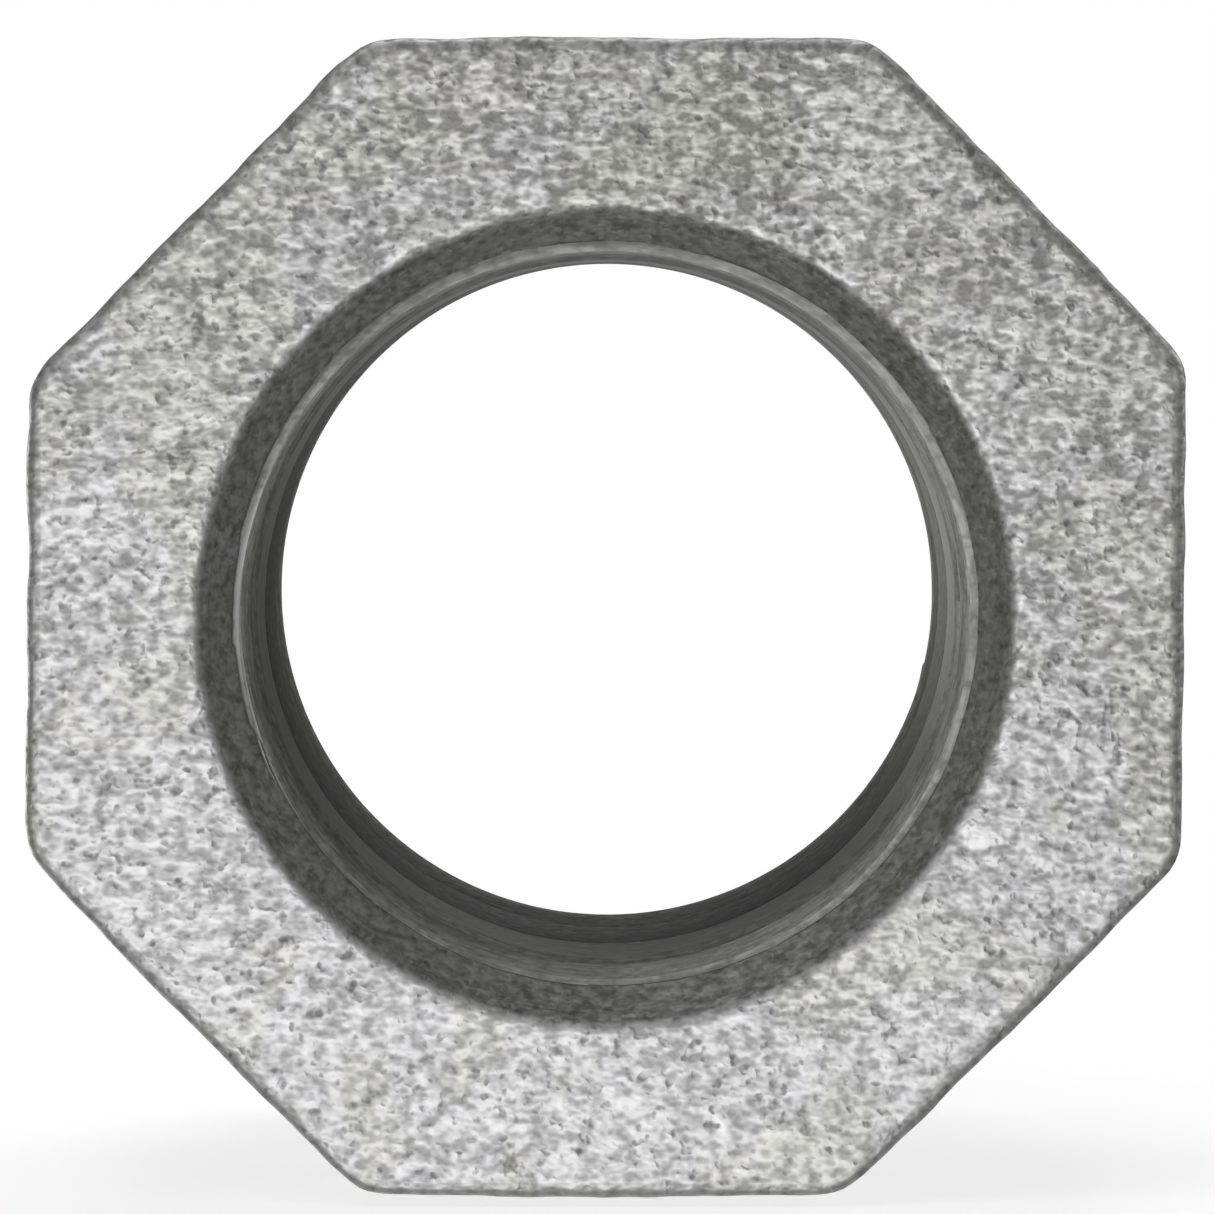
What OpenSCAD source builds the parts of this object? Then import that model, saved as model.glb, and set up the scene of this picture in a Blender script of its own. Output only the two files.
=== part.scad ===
// Ground-joint pipe union for 2 inch pipe.
// The bore lies along Y. The head's face looks to -Y and the tail's face to +Y.
// Each piece is drawn standing on Z, in stations measured from the middle of the
// union towards the head, and is then laid along Y.

/* [Union] */
// Length of the closed union, from face to face
overall_l = 82; // [80:1:90]

/* [Pipe ends] */
// Radius of the bore that each pipe thread is cut in
pipe_bore_r = 28.25; // [28:0.05:28.5]
// Length of each pipe thread, behind its mouth bevel
pipe_thread_l = 19; // [16:0.5:19]
// Radius of the waterway between the two threads
waterway_r = 27.9; // [27:0.1:27.9]
// Radius of the bevelled mouth on the head's face
head_mouth_r = 31.5; // [30:0.1:32]
// Radius of the bevelled mouth on the tail's face
tail_mouth_r = 31; // [30:0.1:31.5]

/* [Wrench octagons] */
// Width across the flats of the head
head_across = 88.9; // [88:0.1:90]
// Length of the head's octagon
head_oct_l = 24; // [22:0.5:24.5]
// Width across the flats of the nut
nut_across = 90.5; // [90:0.1:93]
// Width across the flats of the tail's hub
hub_across = 69; // [67:0.5:69.5]
// Radius of the circle that the hub's corners are turned to
hub_corner_r = 35.3; // [35:0.1:35.4]

/* [Union thread] */
// Outside radius of the head's union thread
thread_r = 39.7; // [39.5:0.1:40]
// Radial play of the nut on that thread
thread_play = 0.05; // [0.02:0.01:0.09]
// Depth of the thread form, which sets the runout groove
thread_depth = 1.5; // [1.2:0.1:1.6]

/* [Ground seat] */
// Station of the head's inner end, where the two halves part
parting = -3; // [-4:0.5:-2]
// Outside radius of the brass seat ring
ring_r = 33; // [32.5:0.1:33.5]
// Length of the brass seat ring
ring_l = 6.5; // [5:0.5:8]
// Bore radius of the brass seat ring
ring_bore_r = 28; // [27.8:0.1:28.4]
// Radius of the seat cone at the parting
seat_r = 32.5; // [32:0.1:32.5]
// Play between the cone of the tail and the seat
seat_play = 0.04; // [0.02:0.01:0.1]

/* [Tail and nut] */
// Outside radius of the tail's collar
collar_r = 38; // [37.5:0.1:38]
// Length of the tail's collar
collar_l = 8; // [7:0.5:9]
// Gap between the collar and the head's inner end
collar_gap = 1; // [0.5:0.1:1.5]
// Bore radius of the nut's lip
lip_bore_r = 35.7; // [35.5:0.1:36]
// Thickness of the nut's lip
lip_l = 5.5; // [5:0.5:6]
// Length of the nut
nut_l = 31.5; // [30:0.5:32]

/* [Hidden] */
$fn = 96;

skin = 0.05;         // how far a cut runs past the face it opens
iron = "#b4b7b8";    // galvanised malleable iron
brass = "#c19a4e";
edge = 1;            // bevel on the ends of the flats
corner_edge = 1.3;   // turned bevel on the corners of the head and nut
hub_edge = 2;        // turned bevel all round the ends of the hub
thread_bevel = 1.5;  // bevel where a thread starts
groove_l = 2.4;      // runout groove behind the union thread
head_corner_r = head_across / 2 / cos(22.5) - 0.35;
nut_corner_r = nut_across / 2 / cos(22.5) - 0.55;

head_face = overall_l / 2;
tail_face = -overall_l / 2;
head_back = head_face - head_oct_l;
collar_front = parting - collar_gap;
collar_back = collar_front - collar_l;
nut_tail_end = collar_back - thread_play - lip_l;
nut_head_end = nut_tail_end + nut_l;
nose_front = parting + 3.6;
nut_shoulder_l = 3.5;    // how far the nut's round shoulder stands past its octagon
nut_shoulder_r = nut_across / 2 - 2;

// A length of octagon bar between two stations: four crossed slabs give its eight
// flats and end bevels, and a turned bar takes the points off its corners.
module octagon_bar(across, corner_r, low, high, turned_edge) {
    intersection() {
        intersection_for(turn = [0 : 45 : 135])
            rotate([0, 0, turn])
                slab(across, low, high, edge);
        turned_bar(corner_r, low, high, turned_edge);
    }
}

// A slab with bevelled long edges, wide enough to cross the whole bar.
module slab(across, low, high, bevel) {
    half = across / 2;
    rotate([90, 0, 0])
        linear_extrude(height = 2 * across, center = true)
            polygon([
                [-half + bevel, low], [half - bevel, low],
                [half, low + bevel], [half, high - bevel],
                [half - bevel, high], [-half + bevel, high],
                [-half, high - bevel], [-half, low + bevel]
            ]);
}

// A round bar between two stations, bevelled at both ends.
module turned_bar(r, low, high, bevel) {
    rotate_extrude()
        polygon([
            [0, low], [r - bevel, low], [r, low + bevel],
            [r, high - bevel], [r - bevel, high], [0, high]
        ]);
}

// The hollow of a pipe end: bevelled mouth, threaded length, then the waterway.
// It is drawn with its face at 0 and runs down to the given depth.
module pipe_hollow(mouth_r, depth) {
    bevel = mouth_r - pipe_bore_r;
    shoulder = bevel + pipe_thread_l;
    rotate_extrude()
        polygon([
            [0, skin], [mouth_r + skin, skin], [pipe_bore_r, -bevel],
            [pipe_bore_r, -shoulder], [waterway_r, -shoulder],
            [waterway_r, -depth], [0, -depth]
        ]);
}

// Head: octagon, union thread and the recess that holds the seat ring.
module head_piece() {
    color(iron)
        rotate([90, 0, 0])
            difference() {
                union() {
                    octagon_bar(
                        head_across, head_corner_r,
                        head_back, head_face, corner_edge
                    );
                    head_spigot();
                }
                translate([0, 0, head_face])
                    pipe_hollow(head_mouth_r, overall_l);
                translate([0, 0, parting - skin])
                    cylinder(r = ring_r, h = ring_l + skin);
            }
}

// The round end of the head: its thread's outside, with a groove behind it.
module head_spigot() {
    groove = head_back - groove_l;
    groove_r = thread_r - thread_depth;
    rotate_extrude()
        polygon([
            [0, parting], [thread_r - thread_bevel, parting],
            [thread_r, parting + thread_bevel], [thread_r, groove - thread_depth],
            [groove_r, groove], [groove_r, head_back + edge], [0, head_back + edge]
        ]);
}

// Brass ring with the ground seat cone facing the tail.
module seat_ring() {
    cone_l = seat_r - ring_bore_r;
    color(brass)
        rotate([90, 0, 0])
            rotate_extrude()
                polygon([
                    [seat_r, parting], [ring_r, parting], [ring_r, parting + ring_l],
                    [ring_bore_r, parting + ring_l], [ring_bore_r, parting + cone_l]
                ]);
}

// Tail: hub with wrench flats, collar that the nut pulls on, and ground cone.
module tail_piece() {
    color(iron)
        rotate([90, 0, 0])
            difference() {
                union() {
                    octagon_bar(
                        hub_across, hub_corner_r,
                        tail_face, collar_back + hub_edge, hub_edge
                    );
                    turned_bar(collar_r, collar_back, collar_front, edge / 2);
                    tail_nose();
                }
                translate([0, 0, tail_face])
                    mirror([0, 0, 1])
                        pipe_hollow(tail_mouth_r, overall_l);
            }
}

// The cone that enters the seat ring, down from the collar's front face.
module tail_nose() {
    seat = seat_r - seat_play;
    rotate_extrude()
        polygon([
            [0, collar_front - edge], [seat + collar_gap, collar_front - edge],
            [seat + collar_gap, collar_front], [seat - (nose_front - parting), nose_front],
            [0, nose_front]
        ]);
}

// Nut: octagon with a turned shoulder, threaded bore, and the lip behind the collar.
module union_nut() {
    color(iron)
        rotate([90, 0, 0])
            difference() {
                union() {
                    octagon_bar(
                        nut_across, nut_corner_r,
                        nut_tail_end + nut_shoulder_l, nut_head_end, corner_edge
                    );
                    turned_bar(
                        nut_shoulder_r, nut_tail_end,
                        nut_tail_end + 4 * nut_shoulder_l, nut_shoulder_l - edge
                    );
                }
                nut_hollow();
            }
}

// The nut's hollow: lip bore, then the thread's bore with a bevelled start.
module nut_hollow() {
    bore_r = thread_r + thread_play;
    bore_start = nut_tail_end + lip_l;
    rotate_extrude()
        polygon([
            [0, nut_tail_end - skin], [lip_bore_r, nut_tail_end - skin],
            [lip_bore_r, bore_start], [bore_r, bore_start],
            [bore_r, nut_head_end - thread_bevel],
            [bore_r + thread_bevel + skin, nut_head_end + skin],
            [0, nut_head_end + skin]
        ]);
}

head_piece();
seat_ring();
tail_piece();
union_nut();
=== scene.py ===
"""Looks for a 2 inch pipe union: galvanised castings, cut threads and a brass seat."""
import math

import bmesh
import bpy
import numpy as np
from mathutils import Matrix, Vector


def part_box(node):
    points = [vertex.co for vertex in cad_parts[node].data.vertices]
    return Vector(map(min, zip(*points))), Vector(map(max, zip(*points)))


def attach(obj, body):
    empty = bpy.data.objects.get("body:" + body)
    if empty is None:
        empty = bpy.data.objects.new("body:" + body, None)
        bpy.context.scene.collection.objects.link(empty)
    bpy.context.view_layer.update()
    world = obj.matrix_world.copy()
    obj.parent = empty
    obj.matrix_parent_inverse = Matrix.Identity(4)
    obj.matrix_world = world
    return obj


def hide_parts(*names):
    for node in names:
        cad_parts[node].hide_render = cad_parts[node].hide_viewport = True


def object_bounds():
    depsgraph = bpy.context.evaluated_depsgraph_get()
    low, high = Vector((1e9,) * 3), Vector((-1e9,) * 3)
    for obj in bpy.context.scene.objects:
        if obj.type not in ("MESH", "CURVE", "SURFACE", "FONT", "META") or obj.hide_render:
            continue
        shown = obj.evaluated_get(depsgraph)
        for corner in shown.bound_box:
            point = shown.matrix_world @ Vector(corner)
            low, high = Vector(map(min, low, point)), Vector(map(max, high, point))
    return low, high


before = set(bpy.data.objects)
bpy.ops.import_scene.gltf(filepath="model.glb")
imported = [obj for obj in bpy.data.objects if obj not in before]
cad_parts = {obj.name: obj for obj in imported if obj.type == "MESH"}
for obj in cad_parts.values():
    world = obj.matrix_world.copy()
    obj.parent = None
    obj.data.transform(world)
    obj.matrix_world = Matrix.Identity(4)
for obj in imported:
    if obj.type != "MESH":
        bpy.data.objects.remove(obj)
cad_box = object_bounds()

MM = 0.001  # every size below is in millimetres, in the frame's axes
AROUND = 448  # steps round the bore, a whole number for each of the eight flats
TURN = np.linspace(0.0, 2.0 * math.pi, AROUND + 1)  # angle about +Y, from +Z towards +X
MERGE_STEPS = 5000  # steps in a millimetre: points that fall on the same one are merged
SHARP_FROM = math.radians(38)  # edges that turn by more are shaded as sharp

# Pipe ends
PIPE_PITCH = 25.4 / 11.5
PIPE_THREAD_DEPTH = 1.75
PIPE_TAPER = 1 / 32  # change of radius along the thread
HEAD_WATERWAY_R, TAIL_WATERWAY_R = 27.8, 27.95
PIPE_BORE_R = 28.2
HEAD_MOUTH_R = 31.5
TAIL_MOUTH_R = 31.0
MOUTH_TO_SHOULDER = 22.2
SHOULDER_L = 0.7
MOUTH_LIP = 0.9  # how far the cast skin reaches down the mouth bevel

# How a pipe thread starts, as depths below its mouth
FIRST_CUT = 1.9  # the groove cuts into the bevel from here on
RIM_FROM, RIM_FULL, RIM_H = 2.5, 3.0, 0.22  # cut edge that stands over the groove
ARRIS_FROM, ARRIS_W = 2.1, 0.2  # bright edge between groove and bevel
WORN_TO = 5.2  # the first turns are rubbed
# painted shade deep in a pipe thread: it starts at this depth and deepens over this length
DEPTH_SHADE_FROM, DEPTH_SHADE_L = 4.5, 5.0
FADE_L = 3.0  # the groove fades out over this length before the shoulder

# Union thread, shared by the head and the nut
UNION_PITCH = 25.4 / 11
MALE_R, MALE_ROOT_R = 39.7, 38.2
FEMALE_R, FEMALE_ROOT_R = 38.36, 39.86
GROOVE_L = 2.2  # turned groove behind the head's thread
RELIEF_L = 2.0  # turned groove behind the nut's thread

# Ground seat
RING_R, RING_BORE_R = 33.0, 28.0
SEAT_R = 32.5
SEAT_PLAY = 0.04

# Head, tail and nut
HEAD_OCT_L = 24.0
COLLAR_R, COLLAR_L, COLLAR_GAP = 38.0, 8.0, 1.0
HUB_ACROSS, HUB_CORNER_R = 69.0, 35.3
LIP_BORE_R, LIP_L = 35.7, 5.5
NUT_SHOULDER_L, NUT_SHOULDER_DROP = 3.5, 2.0


def span(node, axis):
    """Where a CAD node starts and ends along an axis, in millimetres."""
    low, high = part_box(node)
    return low[axis] / MM, high[axis] / MM


HEAD_FACE, HEAD_END = span("head_piece", 1)
HEAD_ACROSS = 2 * span("head_piece", 2)[1]
HEAD_BACK = HEAD_FACE + HEAD_OCT_L
NUT_FRONT, NUT_TAIL = span("union_nut", 1)
NUT_ACROSS = 2 * span("union_nut", 2)[1]
NOSE, TAIL_FACE = span("tail_piece", 1)
RING_FRONT = span("seat_ring", 1)[0]
COLLAR_FRONT = HEAD_END + COLLAR_GAP
COLLAR_BACK = COLLAR_FRONT + COLLAR_L


# ---------------------------------------------------------------- noise

def cell_value(x, y, z):
    """A repeatable number from -1 to 1 for each whole-number cell."""
    n = (x * 374761393 + y * 668265263 + z * 1442695041) & 0xFFFFFFFF
    n = ((n ^ (n >> 13)) * 1274126177) & 0xFFFFFFFF
    return ((n ^ (n >> 16)) & 0xFFFF) / 32767.5 - 1.0


def value_noise(points, cell):
    """Smooth noise from -1 to 1 at each point, with lumps about one cell across."""
    grid = points / cell
    low = np.floor(grid).astype(np.int64)
    t = grid - low
    t = t * t * t * (t * (6.0 * t - 15.0) + 10.0)
    total = 0.0
    for corner in range(8):
        step = np.array([corner & 1, corner >> 1 & 1, corner >> 2 & 1])
        share = np.prod(np.where(step, t, 1.0 - t), axis=1)
        total = total + share * cell_value(*(low + step).T)
    return total


# ---------------------------------------------------------------- ring-shaped pieces

# A turn of thread as (share of the pitch from a crest, height from root to crest).
# FINE_FORM starts a turn just before its crest, and has rows enough for a mouth seen close.
PLAIN_FORM = ((-0.06, 1.0), (0.06, 1.0), (0.44, 0.0), (0.56, 0.0))
ROUNDED_FORM = (
    (-0.06, 1.0), (0.06, 1.0), (0.4, 0.06), (0.46, 0.0), (0.54, 0.0), (0.6, 0.06),
)
FINE_FORM = (
    (-0.085, 0.86), (-0.045, 1.0), (0.045, 1.0), (0.085, 0.86), (0.12, 0.77),
    (0.16, 0.67), (0.2, 0.57), (0.24, 0.47), (0.32, 0.27), (0.395, 0.08),
    (0.445, 0.0), (0.555, 0.0), (0.605, 0.08), (0.68, 0.27), (0.76, 0.47),
    (0.84, 0.67),
)


def octagon(across, rounding=77.0, offsets=(0,) * 8, leans=(0,) * 8):
    """Distance from the axis to an octagon with rounded corners, at each angle.

    offsets moves each flat outwards and leans tips it, in millimetres and radians.
    """
    total = 0.0
    for k in range(8):
        facing = np.maximum(np.cos(TURN - k * math.pi / 4 - leans[k]), 0.0)
        total = total + (facing / (across / 2 + offsets[k])) ** rounding
    return total ** (-1.0 / rounding)


def rounded(flat, i, fillet):
    """Points round the bend at corner i of a section."""
    before, here, after = flat[i - 1], flat[i], flat[(i + 1) % len(flat)]
    way_in = (here - before) / np.linalg.norm(here - before)
    way_out = (after - here) / np.linalg.norm(after - here)
    angle = math.acos(np.clip(way_in @ way_out, -1, 1))
    reach = fillet * math.tan(angle / 2)
    start, end = here - way_in * reach, here + way_out * reach
    bend = []
    for t in np.linspace(0, 1, 6 if fillet > 0.4 else 3):
        bend.append((1 - t) ** 2 * start + 2 * t * (1 - t) * here + t * t * end)
    return bend


class Section:
    """The closed section of a ring, as rows of points that each run once round the bore.

    A corner is (radius, share, y, fillet, cast, shade). Its distance from the axis is
    radius + share * outline, so share 0 is round and share 1 follows the octagon. cast
    and shade belong to the stretch that follows it.
    """

    def __init__(self, outline=0.0):
        self.outline = np.broadcast_to(outline, TURN.shape)
        self.rows = []

    def row(self, radius, y, cast, shade, crest=0.6):
        """One row of points. crest is how bright the metal there is drawn: low in thread
        roots, high on crests and rubbed edges.
        """
        parts = (radius, y, cast, shade, crest)
        self.rows.append(np.stack([np.broadcast_to(p, TURN.shape) for p in parts]))

    def outlined(self, distance, share):
        """A distance at the outline's narrowest, as a distance at every angle."""
        return distance - share * self.outline.min() + share * self.outline

    def path(self, corners, step, closed=False):
        """Rows along the lines between corners, with the corners rounded off."""
        usual, last = self.outline.min(), len(corners) - 1
        flat = [np.array([c[0] + c[1] * usual, c[2]]) for c in corners]
        bends = []
        for i, corner in enumerate(corners):
            sharp = corner[3] == 0 or (not closed and i in (0, last))
            bends.append([flat[i]] if sharp else rounded(flat, i, corner[3]))
        for i, (_, share, _, _, cast, shade) in enumerate(corners):
            bend = bends[i]
            was_cast, was_shade = corners[i - 1][4:6] if i or closed else (cast, shade)
            for j, point in enumerate(bend):
                t = j / max(len(bend) - 1, 1)
                self.row(
                    self.outlined(point[0], share), point[1],
                    was_cast + (cast - was_cast) * t,
                    was_shade + (shade - was_shade) * t,
                )
            if i < last or closed:
                n = (i + 1) % len(corners)
                self.stretch(bend[-1], share, bends[n][0], corners[n][1], step, cast, shade)

    def stretch(self, start, share, end, next_share, step, cast, shade):
        """Rows between two bends, about a step apart."""
        near, far = self.outlined(start[0], share), self.outlined(end[0], next_share)
        pieces = max(int(math.ceil(np.linalg.norm(end - start) / step)), 1)
        for j in range(1, pieces):
            t = j / pieces
            self.row(near + (far - near) * t, start[1] + (end[1] - start[1]) * t, cast, shade)

    def thread(self, start, end, pitch, surface, phase=0.0, forms=(ROUNDED_FORM,) * 2):
        """Rows that follow a right-handed thread from y = start to y = end.

        surface(y, height) gives the radius, where height is 0 in a root and 1 on a crest,
        how far the surface there is still cast, its shade, and how far it is a worn edge.
        forms holds the form of the last three turns before y = end, and of the others.
        Rows past an end are gathered on it, so they close up when points are merged.
        """
        low, high = min(start, end), max(start, end)
        first, last = math.floor(low / pitch) - 1, math.ceil(high / pitch) + 1
        rows = []
        for n in range(first, last + 1):
            near_end = abs(n * pitch - end) < 3 * pitch
            form = forms[0] if near_end else forms[1]
            rows += [(n + f, height) for f, height in form]
        if end < start:
            rows.reverse()
        for place, height in rows:
            y = np.clip(pitch * (place + phase + TURN / (2 * math.pi) - 0.5), low, high)
            radius, cast, shade, worn = surface(y, height)
            crest = np.maximum(height * (1 - cast), 2 * worn)
            self.row(radius, y, cast, shade, crest)

    def piece(self, name, relief, seed):
        """The mesh object. relief lists (size of lumps, height) for cast surfaces."""
        radius, y, cast, shade, crest = np.stack(self.rows, axis=1)
        x, z = radius * np.sin(TURN), radius * np.cos(TURN)
        points = np.stack([x, y, z], axis=-1).reshape(-1, 3)
        paint = np.stack([cast, shade, crest], axis=-1).reshape(-1, 3)
        keys = np.round(points * MERGE_STEPS).astype(np.int64)
        _, first, merged = np.unique(keys, axis=0, return_index=True, return_inverse=True)
        index = merged.reshape(radius.shape)
        below = np.roll(index, -1, axis=0)
        quads = np.stack(
            [index[:, :-1], index[:, 1:], below[:, 1:], below[:, :-1]], axis=-1
        ).reshape(-1, 4)
        faces = [tuple(dict.fromkeys(q)) for q in quads.tolist()]
        faces = [f for f in faces if len(f) > 2]
        points, paint = points[first], paint[first]
        if outward(points, faces) < 0:
            faces = [f[::-1] for f in faces]
        mesh = bpy.data.meshes.new(name)
        mesh.from_pydata(points * MM, [], faces)
        close_slits(mesh)
        emboss(mesh, paint[:, 0], relief, seed)
        # cast, shade and crest for each point; the shade channel also carries painted shade
        colour = mesh.attributes.new("finish_and_shade", "FLOAT_COLOR", "POINT")
        colour.data.foreach_set("color", np.column_stack([paint, np.ones(len(paint))]).ravel())
        mesh.polygons.foreach_set("use_smooth", [True] * len(mesh.polygons))
        mesh.set_sharp_from_angle(angle=SHARP_FROM)
        mesh.validate()
        ob = bpy.data.objects.new(name, mesh)
        bpy.context.scene.collection.objects.link(ob)
        return ob


def outward(points, faces):
    """The volume that faces enclose, which is negative if they look inwards."""
    tri = np.array([f[:3] for f in faces] + [(f[0], f[2], f[3]) for f in faces if len(f) > 3])
    a, b, c = (points[tri[:, k]] for k in range(3))
    return np.einsum("ij,ij->i", a, np.cross(b, c)).sum() / 6


def close_slits(mesh):
    """Fills the slit where a finely drawn turn of thread meets a plainer one."""
    bm = bmesh.new()
    bm.from_mesh(mesh)
    slits = [edge for edge in bm.edges if edge.is_boundary]
    bmesh.ops.holes_fill(bm, edges=slits, sides=0)
    bm.to_mesh(mesh)
    bm.free()


def emboss(mesh, cast, relief, seed):
    """Raises and sinks cast surfaces along their normals, by noise of several sizes."""
    count = len(mesh.vertices)
    place = np.empty(count * 3, np.float32)
    normal = np.empty(count * 3, np.float32)
    mesh.vertices.foreach_get("co", place)
    mesh.vertex_normals.foreach_get("vector", normal)
    place, normal = place.reshape(-1, 3).astype(float), normal.reshape(-1, 3)
    origin = seed * 57.3  # far enough apart that no two pieces get the same lumps
    height = sum(h * value_noise(place / MM + origin, size) for size, h in relief)
    moved = place + normal * (cast * height * MM)[:, None]
    mesh.vertices.foreach_set("co", moved.astype(np.float32).ravel())
    mesh.update()


# ---------------------------------------------------------------- the four pieces

CAST_RELIEF = ((14.0, 0.15), (4.5, 0.1), (1.9, 0.075), (1.1, 0.02))


def pipe_thread(section, mouth, inward, mouth_r, start, depth_shade):
    """A female pipe thread, cut from a mouth at y = mouth towards inward (+1 or -1).

    start is the share of a turn, from the top, where the groove leaves the bevel.
    The last argument sets how much painted shade darkens the thread towards its inner end.
    """
    shoulder = mouth + inward * MOUTH_TO_SHOULDER

    def surface(y, height):
        depth = np.abs(y - mouth)
        bevel = mouth_r - depth
        groove = np.minimum(PIPE_THREAD_DEPTH - depth * PIPE_TAPER, depth - FIRST_CUT)
        fade = np.clip((MOUTH_TO_SHOULDER - depth) / FADE_L, 0, 1)
        cut = PIPE_BORE_R + groove * (1 - height) * fade
        rim = RIM_H * np.clip((depth - RIM_FROM) / (RIM_FULL - RIM_FROM), 0, 1)
        # painted shade: the thread is drawn darker further inside the bore
        shade = 0.5 + depth_shade * np.clip((depth - DEPTH_SHADE_FROM) / DEPTH_SHADE_L, 0, 1)
        arris = np.exp(-((bevel - cut) / ARRIS_W) ** 2) * np.clip(depth - ARRIS_FROM, 0.1, 1)
        worn = np.maximum(arris, 0.45 * (depth < WORN_TO))
        uncut = bevel > cut + rim
        return (
            np.maximum(cut, bevel), np.where(uncut, 0.7, 0.0),
            np.where(uncut, 0.25, shade), worn,
        )

    first_root = mouth + inward * (mouth_r - PIPE_BORE_R + PIPE_PITCH / 2)
    phase = (first_root / PIPE_PITCH - start) % 1.0
    section.thread(
        shoulder, mouth + inward * MOUTH_LIP, PIPE_PITCH, surface, phase,
        forms=(FINE_FORM, PLAIN_FORM),
    )


def head_piece():
    """Octagonal head: its upper right flat stands proud and all its flats lean a little."""
    outline = octagon(
        HEAD_ACROSS,
        offsets=(0.05, 1.25, 0.03, 0.15, 0.23, 0.25, 0.15, -0.03),
        leans=(0.004, 0.0055, 0.0065, 0.003, 0.004, 0.009, 0.012, -0.011),
    )
    groove_end = HEAD_BACK + GROOVE_L
    waterway_end = HEAD_FACE + MOUTH_TO_SHOULDER
    thread_start_r = MALE_ROOT_R - 0.2
    ring = Section(outline)
    ring.path([
        (HEAD_MOUTH_R - MOUTH_LIP, 0, HEAD_FACE + MOUTH_LIP, 0, 0.8, 0.25),
        (HEAD_MOUTH_R, 0, HEAD_FACE, 1.4, 1, 0),
        # painted shade: the outer edge of the face takes part of the dark bevel colour
        (-1.25, 1, HEAD_FACE, 0, 1, 0.13),
        (0, 1, HEAD_FACE, 1.1, 1, 0.19),
        (0, 1, HEAD_FACE + 1.5, 0, 1, 0),
    ], step=0.67)
    ring.path([
        (0, 1, HEAD_FACE + 1.5, 0, 1, 0),
        (0, 1, HEAD_BACK, 1.3, 1, 0),
        (MALE_R + 1.6, 0, HEAD_BACK, 0.6, 0.2, 0.3),
        (MALE_ROOT_R, 0, HEAD_BACK, 0.4, 0.1, 0.5),
        (MALE_ROOT_R, 0, groove_end, 0, 0, 0.5),
    ], step=1.0)

    def male(y, height):
        bevel = thread_start_r + (HEAD_END - y)
        runout = MALE_ROOT_R + (y - groove_end)
        cut = MALE_R - (MALE_R - MALE_ROOT_R) * (1 - height)
        return np.minimum(cut, np.minimum(bevel, runout)), 0.0, 0.5, 0.0

    ring.thread(groove_end, HEAD_END, UNION_PITCH, male)
    ring.path([
        (thread_start_r, 0, HEAD_END, 0, 0, 0.3),
        (RING_R, 0, HEAD_END, 0.2, 0, 0.3),
        (RING_R, 0, RING_FRONT, 0, 0, 0.4),
        (HEAD_WATERWAY_R, 0, RING_FRONT, 0.1, 0.2, 0.55),
        (HEAD_WATERWAY_R, 0, waterway_end + SHOULDER_L, 0.3, 0.2, 0.55),
        (PIPE_BORE_R, 0, waterway_end, 0, 0, 0.5),
    ], step=2.4)
    pipe_thread(ring, HEAD_FACE, 1, HEAD_MOUTH_R, start=0.75, depth_shade=0.06)
    return ring.piece("head_casting", CAST_RELIEF, seed=1)


def tail_piece():
    """Tail: octagonal hub turned round at its corners, collar, ground nose, pipe thread."""
    ring = Section(np.minimum(octagon(HUB_ACROSS, rounding=60.0), HUB_CORNER_R))
    seat = SEAT_R - SEAT_PLAY - HEAD_END
    waterway_end = TAIL_FACE - MOUTH_TO_SHOULDER
    ring.path([
        (TAIL_MOUTH_R - MOUTH_LIP, 0, TAIL_FACE - MOUTH_LIP, 0, 0.8, 0.25),
        (TAIL_MOUTH_R, 0, TAIL_FACE, 0.7, 1, 0),
        (-1.2, 1, TAIL_FACE, 0.9, 1, 0),
        (0, 1, TAIL_FACE - 1.2, 0.9, 1, 0),
        (0, 1, COLLAR_BACK, 0.5, 0.1, 0.2),
        (COLLAR_R, 0, COLLAR_BACK, 0.5, 0.1, 0.2),
        (COLLAR_R, 0, COLLAR_FRONT, 0.6, 0, 0.1),
        (seat + COLLAR_FRONT, 0, COLLAR_FRONT, 0.2, 0, 0.05),
        (seat + NOSE, 0, NOSE, 0.3, 0, 0.2),
        # the tail's waterway is drawn in full painted shade, as deep inside a long bore
        (TAIL_WATERWAY_R, 0, NOSE, 0.2, 0.3, 1.0),
        (TAIL_WATERWAY_R, 0, waterway_end - SHOULDER_L, 0.1, 0.2, 1.0),
        (PIPE_BORE_R, 0, waterway_end, 0, 0, 1.0),
    ], step=0.75)
    pipe_thread(ring, TAIL_FACE, -1, TAIL_MOUTH_R, start=0.2, depth_shade=0.15)
    return ring.piece("tail_casting", CAST_RELIEF, seed=2)


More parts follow.
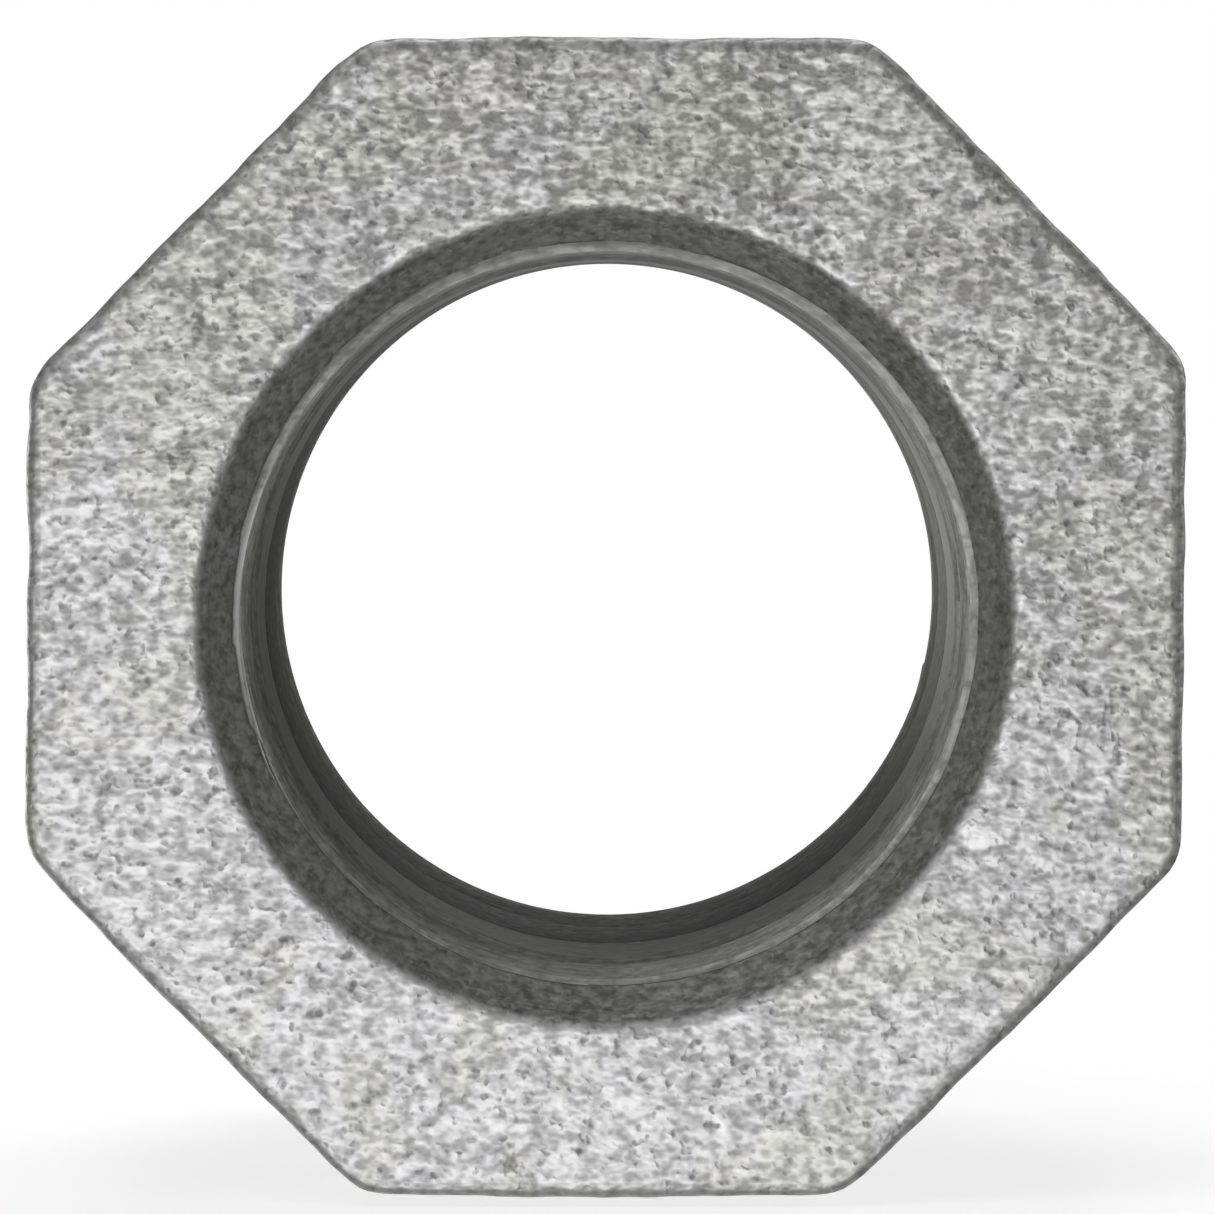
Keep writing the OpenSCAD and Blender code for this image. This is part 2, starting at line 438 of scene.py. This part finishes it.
def union_nut():
    """Octagonal ring nut with a round shoulder, a lip and the female union thread."""
    ring = Section(octagon(NUT_ACROSS, rounding=62.0))
    shoulder, shoulder_r = NUT_TAIL - NUT_SHOULDER_L, NUT_ACROSS / 2 - NUT_SHOULDER_DROP
    lip_front = NUT_TAIL - LIP_L
    relief_end = lip_front - RELIEF_L
    ring.path([
        (FEMALE_ROOT_R + 1.4, 0, NUT_FRONT, 0.4, 1, 0),
        (0, 1, NUT_FRONT, 1.3, 1, 0),
        (0, 1, shoulder, 1.6, 1, 0),
        (shoulder_r, 0, shoulder, 0.4, 1, 0),
        (shoulder_r, 0, NUT_TAIL, 2.4, 1, 0),
        (LIP_BORE_R, 0, NUT_TAIL, 0.6, 0.2, 0.4),
        (LIP_BORE_R, 0, lip_front, 0.3, 0, 0.5),
        (FEMALE_ROOT_R, 0, lip_front, 0.3, 0, 0.5),
        (FEMALE_ROOT_R, 0, relief_end, 0, 0, 0.5),
    ], step=0.7)

    def female(y, height):
        bevel = FEMALE_ROOT_R + 1.3 - (y - NUT_FRONT)
        runout = FEMALE_ROOT_R - (relief_end - y)
        cut = FEMALE_ROOT_R - (FEMALE_ROOT_R - FEMALE_R) * (1 - height)
        return np.maximum(cut, np.maximum(bevel, runout)), 0.0, 0.5, 0.0

    ring.thread(relief_end, NUT_FRONT, UNION_PITCH, female)
    return ring.piece("union_nut_casting", CAST_RELIEF, seed=3)


def seat_ring():
    """Brass ring: turned all over, with the seat cone ground bright."""
    ring = Section()
    cone_end = HEAD_END - (SEAT_R - RING_BORE_R)
    ring.path([
        (SEAT_R, 0, HEAD_END, 0.12, 0, 0),
        (RING_R, 0, HEAD_END, 0.12, 0, 0),
        (RING_R, 0, RING_FRONT, 0.12, 0, 0),
        (RING_BORE_R, 0, RING_FRONT, 0.2, 0, 0),
        (RING_BORE_R, 0, cone_end, 0.2, 0, 1),
    ], step=0.5, closed=True)
    return ring.piece("seat_ring_turned", (), seed=4)


# ---------------------------------------------------------------- materials

class Nodes:
    """Short calls that add shader nodes to the tree of a material or a world."""

    def __init__(self, owner):
        owner.use_nodes = True
        self.tree = owner.node_tree
        self.tree.nodes.clear()

    def add(self, kind, settings=None, **inputs):
        node = self.tree.nodes.new(kind)
        for name, value in (settings or {}).items():
            setattr(node, name, value)
        for name, value in inputs.items():
            self.feed(node.inputs[name.replace("_", " ")], value)
        return node

    def feed(self, socket, value):
        if isinstance(value, bpy.types.NodeSocket):
            self.tree.links.new(value, socket)
        elif value is not None:
            socket.default_value = value

    def math(self, operation, a, b):
        node = self.tree.nodes.new("ShaderNodeMath")
        node.operation = operation
        self.feed(node.inputs[0], a)
        self.feed(node.inputs[1], b)
        return node.outputs[0]

    def mix(self, factor, a, b, blend="MIX"):
        node = self.tree.nodes.new("ShaderNodeMix")
        node.data_type, node.blend_type = "RGBA", blend
        for slot, value in ((0, factor), (6, a), (7, b)):
            self.feed(node.inputs[slot], value)
        return node.outputs[2]

    def noise(self, where, scale, detail=2.0, roughness=0.5, distortion=0.0):
        node = self.add(
            "ShaderNodeTexNoise", Vector=where, Scale=scale, Detail=detail,
            Roughness=roughness, Distortion=distortion,
        )
        return node.outputs["Fac"]

    def ramp(self, value, low, high, a=0.0, b=1.0):
        """value taken from low..high to a..b, held at both ends."""
        node = self.tree.nodes.new("ShaderNodeMapRange")
        node.clamp = True
        for slot, v in enumerate((value, low, high, a, b)):
            self.feed(node.inputs[slot], v)
        return node.outputs[0]

    def stretched(self, where, x, y, z):
        node = self.tree.nodes.new("ShaderNodeVectorMath")
        node.operation = "MULTIPLY"
        self.feed(node.inputs[0], where)
        self.feed(node.inputs[1], (x, y, z))
        return node.outputs[0]


def grey(value, warm=0.0):
    """A grey that leans to yellow-green by warm, or to blue if warm is negative."""
    return (value, value * (1 + 0.1 * warm), value * (1 - warm), 1.0)


def painted(n):
    """Where a point is, in millimetres, and the three numbers painted on it."""
    where = n.add("ShaderNodeTexCoord").outputs["Object"]
    mm = n.stretched(where, 1 / MM, 1 / MM, 1 / MM)
    finish_and_shade = n.add("ShaderNodeAttribute", {"attribute_name": "finish_and_shade"}).outputs["Color"]
    return mm, n.add("ShaderNodeSeparateColor", Color=finish_and_shade).outputs


def pits(n, mm, cast):
    """Small pits in the cast skin, more of them in some places."""
    speck = n.noise(mm, 1.4, 1.0, 0.5)
    clusters = n.ramp(n.noise(mm, 0.12, 2.0), 0.44, 0.62, 0.0, 0.06)
    pit = n.ramp(n.math("ADD", speck, clusters), 0.62, 0.82)
    return n.math("MULTIPLY", pit, cast)


def zinc_colour(n, mm, mottle, grain, pit):
    """Pale zinc with pits; hollows darker, partly its own mottle and partly painted shade;
    painted shade darkens it towards the upper right, which is also warmer.
    """
    place = n.add("ShaderNodeSeparateXYZ", Vector=mm).outputs
    slant = n.math("ADD", place[2], n.math("MULTIPLY", place[0], 0.45))
    # painted shade: a mask that darkens the zinc towards the upper right
    upper_right_shade_and_tint = n.ramp(slant, -45.0, 50.0)
    patch = n.noise(mm, 0.085, 2.0, 0.5, 0.4)
    worn = n.noise(mm, 0.16, 3.0, 0.6, 0.5)
    level = n.math("SUBTRACT", mottle, n.math("MULTIPLY", upper_right_shade_and_tint, 0.085))
    level = n.math("ADD", level, n.ramp(worn, 0.35, 0.65, 0.07, 0.0))
    # darker colour where the mottle is low, which is where the relief is low: partly the
    # zinc's own mottle, partly painted shade in the hollows
    hollow_tone_and_shade = n.mix(upper_right_shade_and_tint, grey(0.4), grey(0.27, 0.02))
    zinc = n.mix(n.ramp(level, 0.33, 0.58), hollow_tone_and_shade, grey(0.59))
    zinc = n.mix(n.ramp(grain, 0.4, 0.7, 0.0, 0.14), zinc, grey(0.68))
    zinc = n.mix(n.ramp(patch, 0.4, 0.5), zinc, (0.98, 0.97, 0.99, 1), "MULTIPLY")
    zinc = n.mix(n.ramp(patch, 0.5, 0.6), zinc, (0.96, 0.965, 0.9, 1), "MULTIPLY")
    # warmer and a little darker to the upper right; the darkening is painted shade
    zinc = n.mix(n.ramp(upper_right_shade_and_tint, 0.5, 1.0), zinc, (0.97, 0.97, 0.95, 1), "MULTIPLY")
    return n.mix(n.math("MULTIPLY", pit, 0.75), zinc, grey(0.11))


def bare_colour(n, mm, mottle, shade, crest):
    """Cut iron: streaked along the thread, darkened by painted shade where shade is high,
    bright on crests, with painted shade dimming the crests towards the top.
    """
    height = n.add("ShaderNodeSeparateXYZ", Vector=mm).outputs[2]
    # painted shade: crests and rubbed edges are drawn darker towards the top
    crest = n.math("MULTIPLY", crest, n.ramp(height, 5.0, 28.0, 1.0, 0.2))
    streak = n.noise(n.stretched(mm, 0.25, 3.0, 0.25), 1.0, 2.0, 0.7)
    # painted shade: the dark colour used deep inside bores
    depth_shade = n.mix(n.ramp(mottle, 0.35, 0.65), grey(0.05, 0.05), grey(0.12, 0.03))
    bare = n.mix(n.ramp(crest, 0.0, 0.6), grey(0.42, 0.06), grey(0.6, 0.02))
    bare = n.mix(n.ramp(streak, 0.35, 0.6, 0.0, 0.5), bare, grey(0.16, 0.05))
    bare = n.mix(n.ramp(mottle, 0.45, 0.65, 0.0, 0.5), bare, grey(0.17, 0.08))
    bare = n.mix(n.ramp(shade, 0.5, 0.9), bare, depth_shade)
    return n.mix(n.ramp(crest, 1.1, 1.8), bare, grey(0.75))


def bevel_colour(n, mm, mottle):
    """The dull bevel inside a mouth, with paler chips."""
    chips = n.noise(mm, 1.6, 1.0, 0.5, 0.6)
    bevel = n.mix(n.ramp(mottle, 0.3, 0.7), grey(0.15, 0.1), grey(0.34, 0.02))
    return n.mix(n.ramp(chips, 0.5, 0.75, 0.0, 0.7), bevel, grey(0.42))


def casting_bump(n, wide, mottle, grain, pit, cast):
    """Ripples, mottle, grain and pits as relief, faint where the surface is cut."""
    ripple = n.noise(wide, 0.55, 1.0, 0.5)
    height = n.math("MULTIPLY", ripple, 0.45)
    height = n.math("ADD", height, n.math("MULTIPLY", mottle, 0.3))
    height = n.math("ADD", height, n.math("MULTIPLY", grain, 0.02))
    height = n.math("SUBTRACT", height, n.math("MULTIPLY", pit, 0.12))
    height = n.math("MULTIPLY", height, n.ramp(cast, 0.0, 1.0, 0.12, 1.0))
    return n.add("ShaderNodeBump", Height=height, Strength=1.0, Distance=0.4 * MM).outputs[0]


def galvanised_iron():
    """Zinc where a piece is cast, a dull bevel at low shade and cut iron above that."""
    material = bpy.data.materials.new("galvanised_iron")
    n = Nodes(material)
    mm, (cast, shade, crest) = painted(n)
    wide = n.stretched(mm, 0.72, 1.0, 1.0)
    mottle = n.noise(wide, 1.35, 1.0, 0.6)
    grain = n.noise(mm, 2.8, 1.0, 0.5)
    pit = pits(n, mm, cast)

    zinc = zinc_colour(n, mm, mottle, grain, pit)
    metal = n.mix(n.ramp(shade, 0.08, 0.25), zinc, bevel_colour(n, mm, mottle))
    bare = bare_colour(n, mm, mottle, shade, crest)
    metal = n.mix(n.ramp(shade, 0.3, 0.45), metal, bare)
    shader = n.add(
        "ShaderNodeBsdfPrincipled", Base_Color=metal,
        Metallic=n.ramp(shade, 0.1, 0.5, 0.85, 0.4),
        Roughness=n.ramp(mottle, 0.3, 0.7, 0.62, 0.5),
        Normal=casting_bump(n, wide, mottle, grain, pit, cast),
    )
    n.add("ShaderNodeOutputMaterial", Surface=shader.outputs[0])
    return material


def turned_brass():
    """Brass with fine turning lines, brighter on the ground cone."""
    material = bpy.data.materials.new("turned_brass")
    n = Nodes(material)
    mm, (_, ground, _) = painted(n)
    lines = n.noise(n.stretched(mm, 0.02, 9.0, 0.02), 1.0, 2.0, 0.6)
    tarnish = n.noise(mm, 0.3, 3.0, 0.6)
    colour = n.mix(n.ramp(tarnish, 0.4, 0.7), (0.72, 0.5, 0.2, 1), (0.5, 0.36, 0.17, 1))
    colour = n.mix(ground, colour, (0.85, 0.64, 0.3, 1))
    bump = n.add("ShaderNodeBump", Height=lines, Strength=0.5, Distance=0.03 * MM)
    shader = n.add(
        "ShaderNodeBsdfPrincipled", Base_Color=colour, Metallic=1.0,
        Roughness=n.ramp(lines, 0.3, 0.7, 0.22, 0.4), Normal=bump.outputs[0],
    )
    n.add("ShaderNodeOutputMaterial", Surface=shader.outputs[0])
    return material


# ---------------------------------------------------------------- studio

FLOOR_R = 0.7  # metres
FLOOR_FADE = (0.07, 0.16)  # metres from the middle, where the floor fades into white


def floor():
    """A pale disc that the nut's lowest flat rests on, fading into the white behind."""
    height = cad_box[0].z - 0.2 * MM
    bpy.ops.mesh.primitive_circle_add(
        vertices=96, radius=FLOOR_R, fill_type="NGON", location=(0, 0, height)
    )
    disc = bpy.context.object
    disc.name = "floor"
    material = bpy.data.materials.new("pale_floor")
    n = Nodes(material)
    where = n.add("ShaderNodeTexCoord").outputs["Object"]
    away = n.tree.nodes.new("ShaderNodeVectorMath")
    away.operation = "LENGTH"
    n.feed(away.inputs[0], where)
    seen = n.ramp(away.outputs["Value"], *FLOOR_FADE)
    shadowed = n.add("ShaderNodeBsdfDiffuse", Color=(0.5, 0.5, 0.5, 1), Roughness=0.6)
    glow = n.add("ShaderNodeEmission", Color=(1, 1, 1, 1), Strength=0.7)
    paint = n.tree.nodes.new("ShaderNodeAddShader")
    n.feed(paint.inputs[0], shadowed.outputs[0])
    n.feed(paint.inputs[1], glow.outputs[0])
    clear = n.add("ShaderNodeBsdfTransparent")
    mixed = n.tree.nodes.new("ShaderNodeMixShader")
    n.feed(mixed.inputs[0], seen)
    n.feed(mixed.inputs[1], paint.outputs[0])
    n.feed(mixed.inputs[2], clear.outputs[0])
    n.add("ShaderNodeOutputMaterial", Surface=mixed.outputs[0])
    disc.data.materials.append(material)
    disc.visible_glossy = disc.visible_diffuse = disc.visible_shadow = False


def softbox(name, place, size, watts):
    """A square area light that looks at the middle of the union."""
    data = bpy.data.lights.new(name, "AREA")
    data.shape = "SQUARE"
    data.size, data.energy = size, watts
    ob = bpy.data.objects.new(name, data)
    ob.location = place
    ob.rotation_euler = (-Vector(place)).to_track_quat("-Z", "Y").to_euler()
    ob.visible_camera = False
    bpy.context.scene.collection.objects.link(ob)


def lights():
    """A large soft light in front, low down, and weaker ones above, beside and behind."""
    softbox("key", (-0.1, -0.85, -0.25), 0.6, 4.4)
    softbox("fill", (-0.25, -0.5, 0.7), 0.6, 1.4)
    softbox("top", (0.0, 0.3, 0.9), 0.7, 4.0)
    softbox("left", (-0.72, 0.66, -0.18), 0.6, 4.2)
    softbox("right", (0.9, 0.3, 0.35), 0.6, 2.9)
    softbox("back", (0.3, 0.7, 0.75), 0.6, 0.8)


def surroundings():
    """White to the camera. To all else it is dim grey, and paler low down behind."""
    world = bpy.data.worlds.new("studio")
    bpy.context.scene.world = world
    n = Nodes(world)
    facing = n.tree.nodes.new("ShaderNodeVectorMath")
    facing.operation = "DOT_PRODUCT"
    n.feed(facing.inputs[0], n.add("ShaderNodeTexCoord").outputs["Generated"])
    n.feed(facing.inputs[1], (0.0, 0.6, -0.8))
    pale = n.ramp(facing.outputs["Value"], 0.65, 0.9)
    dim = n.add("ShaderNodeBackground", Color=n.mix(pale, grey(0.16), grey(0.8)))
    white = n.add("ShaderNodeBackground", Color=(1, 1, 1, 1))
    mixed = n.tree.nodes.new("ShaderNodeMixShader")
    n.feed(mixed.inputs[0], n.add("ShaderNodeLightPath").outputs["Is Camera Ray"])
    n.feed(mixed.inputs[1], dim.outputs[0])
    n.feed(mixed.inputs[2], white.outputs[0])
    n.add("ShaderNodeOutputWorld", Surface=mixed.outputs[0])


def camera():
    """Looks into the head's mouth from just above the axis, a long way off."""
    stand_off, height, right = 606 * MM, 19 * MM, 0.8 * MM
    face = HEAD_FACE * MM
    target = Vector((0.1 * MM, face, 0.82 * MM))
    frame_width = 1.0484 * HEAD_ACROSS * MM  # what the picture spans at the head's face
    data = bpy.data.cameras.new("camera")
    data.lens = data.sensor_width * stand_off / frame_width
    data.clip_start, data.clip_end = 0.05, 20.0
    ob = bpy.data.objects.new("camera", data)
    ob.location = (right, face - stand_off, height)
    ob.rotation_euler = (target - ob.location).to_track_quat("-Z", "Y").to_euler()
    bpy.context.scene.collection.objects.link(ob)
    bpy.context.scene.camera = ob


def dress(piece, node, body, material):
    """Stands a piece in for its CAD node, on the same body."""
    piece.data.materials.append(material)
    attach(piece, body)
    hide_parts(node)


def main():
    scene = bpy.context.scene
    scene.view_settings.view_transform = "Standard"
    iron, brass = galvanised_iron(), turned_brass()
    dress(head_piece(), "head_piece", "head", iron)
    dress(tail_piece(), "tail_piece", "tail", iron)
    dress(union_nut(), "union_nut", "nut", iron)
    dress(seat_ring(), "seat_ring", "head", brass)
    floor()
    lights()
    surroundings()
    camera()


main()
